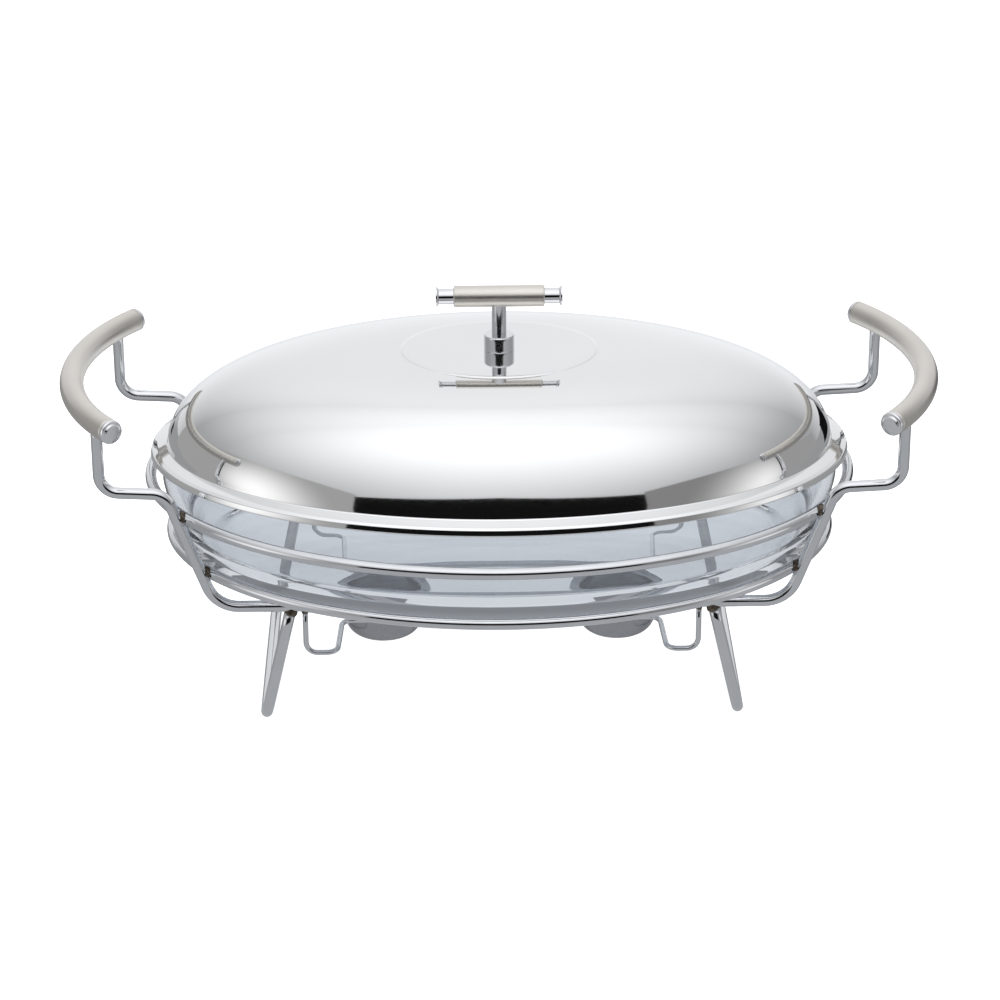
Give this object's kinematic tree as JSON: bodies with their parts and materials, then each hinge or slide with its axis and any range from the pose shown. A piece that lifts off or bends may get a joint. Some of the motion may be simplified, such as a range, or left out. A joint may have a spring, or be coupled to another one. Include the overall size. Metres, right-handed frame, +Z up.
{
  "type": "chafing dish",
  "caption": "Oval glass casserole in a bent wire stand with bowed tube handles, a lift-off polished domed lid with a bar knob, and tea-light cups in a wire rack under the dish.",
  "frame": {"origin": "on the table, under the middle of the dish", "axes": "+X towards the right handle, +Y towards the back, +Z up; the two handles lie on X"},
  "size_m": [0.455, 0.268, 0.2186],
  "materials": {
    "chrome_wire": "polished",
    "satin_nickel": "satin",
    "cap_chrome": "polished",
    "clear_glass": "clear",
    "lid_steel": "mirror polished",
    "knob_chrome": "polished",
    "knob_satin": "satin",
    "cup_steel": "satin",
    "weld": "as welded",
    "hardware": "plain"
  },
  "bodies": {
    "rack": {"front_main_wire": "chrome_wire", "rear_main_wire": "chrome_wire", "upper_ring": "chrome_wire", "lower_ring": "chrome_wire", "left_leg_loop": "chrome_wire", "right_leg_loop": "chrome_wire", "front_burner_wire": "chrome_wire", "rear_burner_wire": "chrome_wire", "left_burner_ring": "chrome_wire", "right_burner_ring": "chrome_wire", "left_handle_tube": "satin_nickel", "right_handle_tube": "satin_nickel", "left_front_handle_cap": "cap_chrome", "left_rear_handle_cap": "cap_chrome", "right_front_handle_cap": "cap_chrome", "right_rear_handle_cap": "cap_chrome", "weld_beads": "weld"},
    "dish": {"glass_dish": "clear_glass"},
    "lid": {"lid_shell": "lid_steel", "knob_collar": "knob_chrome", "knob_stem": "knob_chrome", "knob_rod": "knob_chrome", "knob_sleeve": "knob_satin", "knob_left_tip": "knob_chrome", "knob_right_tip": "knob_chrome", "knob_washer": "hardware", "knob_screw": "hardware"},
    "left_cup": {"left_burner_cup": "cup_steel"},
    "right_cup": {"right_burner_cup": "cup_steel"}
  },
  "joints": [
    {"name": "dish_lift", "type": "slide", "parent": "rack", "child": "dish", "axis": [0, 0, 1], "range_m": [0, 0.2]},
    {"name": "lid_lift", "type": "slide", "parent": "dish", "child": "lid", "axis": [0, 0, 1], "range_m": [0, 0.15]},
    {"name": "left_cup_lift", "type": "slide", "parent": "rack", "child": "left_cup", "axis": [0, 0, 1], "range_m": [0, 0.025]},
    {"name": "right_cup_lift", "type": "slide", "parent": "rack", "child": "right_cup", "axis": [0, 0, 1], "range_m": [0, 0.025]}
  ]
}
